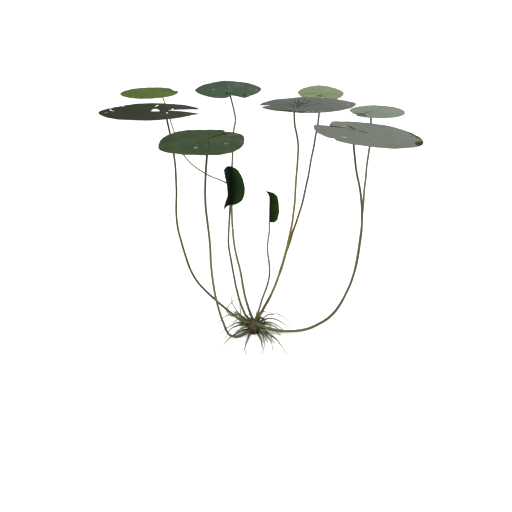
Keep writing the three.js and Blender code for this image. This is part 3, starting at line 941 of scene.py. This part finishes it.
def make_stalk(node, colours, seed):
    centres, radii = stalk_lines[node]
    heart = np.array([0.0, 0.0, min(centres[0][2], cad_height("rhizome") * 0.75)])
    base = blend(centres[0], heart, 0.8)
    end = centres[-1] + unit(centres[-1] - centres[-2]) * 1.7 * MM
    line = np.vstack([[base], centres, [end]])
    widths = np.concatenate([radii[:1], radii, radii[-1:]])
    curve, wanted, place = smooth_line(line, 2.2 * MM)
    radius = np.interp(wanted, place, widths)
    along = wanted / place[-1]
    radius = radius * (1 + 0.16 * (1 - smooth(0.0, 0.1, along)) + 0.14 * smooth(0.985, 1.0, along))
    radius = radius * STALK_SWELL.get(node, 1.06) * (1 + 0.05 * rough_field(curve, 24 * MM, seed))
    hold = smooth(0.0, 0.08, along) * smooth(0.0, 0.04, 1 - along)
    curve = curve + drift(curve, 30 * MM, seed + 1) * (0.7 * MM * hold)[:, None]
    corners, faces, where = tube(curve, radius, STALK_ROUND, 0.05)
    materials = [stalk_material(node + "_skin", *colours, RED_SCARS.get(node))]
    piece(node + "_stem", corners, faces, [node], materials, {"along": where})


def cad_height(node):
    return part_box(node)[1].z


for number, (node, colours) in enumerate(STALKS.items()):
    make_stalk(node, colours, 90 + 4 * number)


# -------- rhizome

RHIZOME_OUTLINE = [[0.0, 0.9], [0.05, 0.95], [0.16, 1.0], [0.5, 0.97], [0.78, 0.84], [0.9, 0.66], [1.0, 0.3]]
RHIZOME_ROWS = 60
RHIZOME_ROUND = 84
SCARS_ROUND = 7


def make_rhizome():
    low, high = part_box("rhizome")
    radius, tall = (high.x - low.x) / 2, high.z
    ups = np.linspace(0, 1, RHIZOME_ROWS)
    turns = np.arange(RHIZOME_ROUND) * 2 * math.pi / RHIZOME_ROUND
    widths = np.interp(ups, *np.array(RHIZOME_OUTLINE).T) * radius * 0.97
    up, turn = np.meshgrid(ups, turns, indexing="ij")
    width = np.repeat(widths[:, None], RHIZOME_ROUND, axis=1)
    corners = np.column_stack([
        (width * np.cos(turn)).ravel(), (width * np.sin(turn)).ravel(), (up * tall).ravel(),
    ])
    spiral = SCARS_ROUND * turn / (2 * math.pi) + 2.5 * up * 2
    row = np.mod(up * 5 + 0.5 * np.floor(spiral), 1.0) - 0.5
    scar = np.exp(-(((np.mod(spiral, 1.0) - 0.5) / 0.24) ** 2 + (row / 0.3) ** 2)).ravel()
    lumps = 1.1 * rough_field(corners, 7 * MM, 5) + 0.5 * rough_field(corners, 2.6 * MM, 6)
    swell = (lumps + 0.8 * scar) * MM * smooth(0.0, 0.08, up).ravel() * 0.7
    out = unit(corners * (1, 1, 0))
    corners = corners + out * swell[:, None]
    corners = np.vstack([corners, [(0, 0, 0), (0, 0, tall * 1.02)]])
    scar = np.concatenate([scar, [0.0, 0.0]])
    faces = ring_faces(RHIZOME_ROWS, RHIZOME_ROUND)
    piece("rhizome_stump", corners, faces, ["rhizome"], [rhizome_material()], {"scar": scar})
    return radius, tall


rhizome_radius, rhizome_height = make_rhizome()


# The line of a dry stalk stub, in mm from the rhizome's foot.
DRY_STUB = [(-1, -2, 24), (-4, -3, 33), (-6.5, -4, 39), (-9, -4.5, 40.5), (-11.5, -5, 38), (-13.5, -5, 33)]


def crown_scale(turn, start, length, lean, width):
    """A thin pointed scale that stands at the rhizome's crown."""
    direction = np.array([math.cos(turn), math.sin(turn), 0.0])
    rise = np.linspace(0, 1, 9)
    out = start + lean * rise**1.6
    height = 0.62 * rhizome_height + length * rise
    line = direction * out[:, None] + np.column_stack([0 * rise, 0 * rise, height])
    radii = width * (1 - rise**1.8) + 0.12 * MM
    corners, faces, along = tube(line, radii, 8)
    side = np.array([-direction[1], direction[0], 0.0])
    middle = np.repeat(line, 8, axis=0)
    offset = corners[:-2] - middle
    flat = offset - direction * (offset @ direction)[:, None] * 0.55 + side * (offset @ side)[:, None] * 0.3
    corners[:-2] = middle + flat
    return corners, faces, along


def make_crown():
    """Scales and a dry brown stalk stub, hooked over, on top of the rhizome."""
    parts = []
    for i in range(16):
        turn = i * 2.4 + random.uniform(-0.2, 0.2)
        start = rhizome_radius * random.uniform(0.35, 0.78)
        length = random.uniform(5, 13) * MM
        lean, width = random.uniform(0.5, 3) * MM, random.uniform(1.1, 2) * MM
        parts.append(crown_scale(turn, start, length, lean, width))
    line, _, _ = smooth_line(np.array(DRY_STUB) * MM, 1.2 * MM)
    parts.append(tube(line, np.linspace(1.1, 0.45, len(line)) * MM, 8))
    corners, faces, along = joined(parts)
    material = root_material("crown_skin", (70, 60, 38), (86, 62, 44), (64, 44, 34))
    piece("rhizome_crown", corners, faces, [], [material], {"along": along})


make_crown()


# -------- roots

ROOT_ROUND = 7
RISE = 0.35 * MM


def above_ground(line, radii):
    line = line.copy()
    line[:, 2] = np.maximum(line[:, 2], radii + RISE)
    return line


def rootlet(start, heading, length, thick, droop, seed, share, last):
    """A thin side root: it leaves start, wanders and sinks towards the ground. share and last are how far
    along a root its colour is at its start and its end."""
    count = max(7, int(length / (1.6 * MM)))
    at, way, line = np.array(start, float), unit(np.array(heading, float)), [np.array(start, float)]
    for i in range(count):
        turn = np.array([noise.noise(Vector((seed * 1.7 + k * 5.1, i * 0.16, seed))) for k in range(3)])
        way = unit(way + 0.2 * turn + np.array([0, 0, -droop]))
        at = at + way * length / count
        line.append(at)
    radii = np.linspace(thick, 0.14 * MM, len(line))
    corners, faces, along = tube(above_ground(np.array(line), radii), radii, 5)
    return corners, faces, blend(share, last, along)


def make_root(node, seed):
    centres, radii = cad_centre_line(node, ROOT_SIDES, outward)
    heart = np.array([0.0, 0.0, centres[0][2] * 0.9])
    line = np.vstack([[blend(centres[0], heart, 0.75)], centres])
    widths = np.concatenate([radii[:1], radii])
    curve, wanted, place = smooth_line(line, 1.7 * MM)
    along = wanted / place[-1]
    swell = blend(1.0, 1.3, smooth(0.0, 0.2, along))
    radius = np.interp(wanted, place, widths) * swell * (1 + 0.16 * rough_field(curve, 6 * MM, seed))
    wander = drift(curve, 24 * MM, seed + 1) + 0.25 * drift(curve, 7 * MM, seed + 5)
    amount = (5 * MM * smooth(0.0, 1.1, along))[:, None] * (1, 1, 0.5)
    curve = above_ground(curve + wander * amount, radius)
    parts = [tube(curve, radius, ROOT_ROUND)]
    for _ in range(random.randint(0, 2)):
        place_at = random.uniform(0.25, 0.8)
        i = int(place_at * (len(curve) - 2))
        ahead = unit(curve[i + 1] - curve[i])
        side = np.array([-ahead[1], ahead[0], 0]) * random.choice([-1, 1])
        heading = ahead + side * random.uniform(0.4, 1.0) + (0, 0, random.uniform(0, 0.4))
        length = random.uniform(10, 26) * MM
        seed_of, share = random.uniform(0, 90), 0.35 + 0.4 * place_at
        parts.append(rootlet(curve[i], heading, length, 0.3 * MM, 0.03, seed_of, share, 1.0))
    corners, faces, values = joined(parts)
    piece(node + "_skin", corners, faces, [node], [root_skin], {"along": values})


root_skin = root_material("root_fade", (40, 44, 18), (88, 94, 54), (168, 172, 148))
root_nodes = sorted(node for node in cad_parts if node.startswith("root_"))
for number, node in enumerate(root_nodes):
    make_root(node, 140 + 9 * number)


# Long fine roots that the CAD leaves out: points in mm from the rhizome's base.
LONG_FINE_ROOTS = [
    [(-10, 8, 14), (-22, 30, 12), (-33, 50, 4), (-46, 62, 2), (-54, 74, 2), (-55, 90, 2), (-50, 110, 2),
     (-43, 126, 2), (-32, 132, 2), (-20, 135, 2)],
    [(-9, 10, 10), (-28, 60, 4), (-40, 96, 2), (-46, 122, 2), (-47, 142, 2), (-42, 152, 2), (-34, 149, 2)],
    [(-8, 10, 14), (-22, 36, 12), (-38, 66, 4), (-36, 76, 2), (-29, 70, 2), (-27, 56, 2)],
    [(-9, 5, 10), (-20, 40, 6), (-27, 68, 2), (-28, 92, 1), (-31, 112, 1)],
    [(9, 5, 16), (24, 16, 26), (44, 26, 24), (62, 30, 12), (70, 28, 1)],
    [(6, 9, 15), (14, 26, 26), (26, 46, 18), (38, 66, 3)],
    [(8, 6, 14), (14, 10, 27), (20, 8, 20), (30, 4, 12), (36, -4, 3)],
]


def make_fine_roots():
    """The long fine roots, and a ruff of short ones round the rhizome."""
    parts = []
    for number, points in enumerate(LONG_FINE_ROOTS):
        line, _, _ = smooth_line(np.array(points, float) * MM, 1.8 * MM)
        radii = np.linspace(1.5, 0.6, len(line)) * MM
        line = above_ground(line + drift(line, 9 * MM, 300 + 3 * number) * 1.2 * MM, radii)
        parts.append(tube(line, radii, 6))
    for _ in range(20):
        turn = random.uniform(0, 2 * math.pi)
        height = random.uniform(0.08, 0.75) * rhizome_height
        direction = np.array([math.cos(turn), math.sin(turn), 0.0])
        start = direction * rhizome_radius * 0.85 + (0, 0, height)
        heading = direction + (0, 0, random.uniform(-0.2, 0.9))
        length = random.uniform(16, 46) * MM
        thick = random.uniform(0.3, 0.75) * MM
        seed, share = random.uniform(0, 90), random.uniform(0.0, 0.2)
        parts.append(rootlet(start, heading, length, thick, 0.06, seed, share, 0.75))
    corners, faces, values = joined(parts)
    piece("fine_roots", corners, faces, [], [root_skin], {"along": values})


make_fine_roots()


# -------- floor, light and camera

CAMERA_PLACE = (0.004, -1.183, 0.684)
CAMERA_PITCH = 23.95     # degrees down from level
SKY = 1.6                # strength of the studio above and in front
LEFT_SHEEN = 0.1         # and low down behind the plant, on its left and its right
RIGHT_SHEEN = 0.8


def make_floor():
    half = 14.0     # metres
    mesh = bpy.data.meshes.new("floor")
    corners = [(-half, -half, 0), (half, -half, 0), (half, half, 0), (-half, half, 0)]
    mesh.from_pydata(corners, [], [(0, 1, 2, 3)])
    mesh.materials.append(new_material("floor_paint").finish((0.93, 0.93, 0.93, 1), 0.9, 0.0))
    floor = bpy.data.objects.new("floor", mesh)
    bpy.context.scene.collection.objects.link(floor)


def make_world():
    """A white studio that is darker low down behind the plant's left side, which the left pads mirror."""
    shade = Shading(bpy.data.worlds.new("studio"))
    bpy.context.scene.world = shade.owner
    x, y, z = shade.split(shade.place("Generated"))
    low_light = shade.ease(x, -0.2, 0.14, LEFT_SHEEN, RIGHT_SHEEN)
    bright = shade.math("MAXIMUM", shade.ease(z, 0.35, 0.6), shade.ease(y, 0.5, 0.2))
    strength = shade.add("ShaderNodeMix", {0: bright, 2: low_light, 3: SKY}, data_type="FLOAT").outputs[0]
    background = shade.add("ShaderNodeBackground", {"Color": (1, 1, 1, 1), "Strength": strength})
    shade.add("ShaderNodeOutputWorld", {0: background.outputs[0]})


def make_light(name, place, target, size, power):
    light = bpy.data.lights.new(name, "AREA")
    light.shape = "DISK"
    light.size = size
    light.energy = power
    lamp = bpy.data.objects.new(name, light)
    lamp.location = place
    lamp.rotation_euler = (Vector(target) - Vector(place)).to_track_quat("-Z", "Y").to_euler()
    bpy.context.scene.collection.objects.link(lamp)


def make_camera():
    """A 50 mm lens on the 36 mm wide frame, a little over a metre away and looking down."""
    camera = bpy.data.cameras.new("camera")
    camera.lens = 50
    camera.sensor_width = 36
    camera.clip_end = 60
    holder = bpy.data.objects.new("camera", camera)
    holder.location = CAMERA_PLACE
    holder.rotation_euler = (math.radians(90 - CAMERA_PITCH), 0, 0)
    bpy.context.scene.collection.objects.link(holder)
    bpy.context.scene.camera = holder


make_floor()
make_world()
make_light("key", (-1.6, -1.8, 2.6), (0, 0, 0.2), 1.6, 78)
make_light("fill", (2.2, -1.2, 2.2), (0, 0, 0.2), 2.0, 43)
make_camera()
bpy.context.scene.view_settings.view_transform = "Standard"
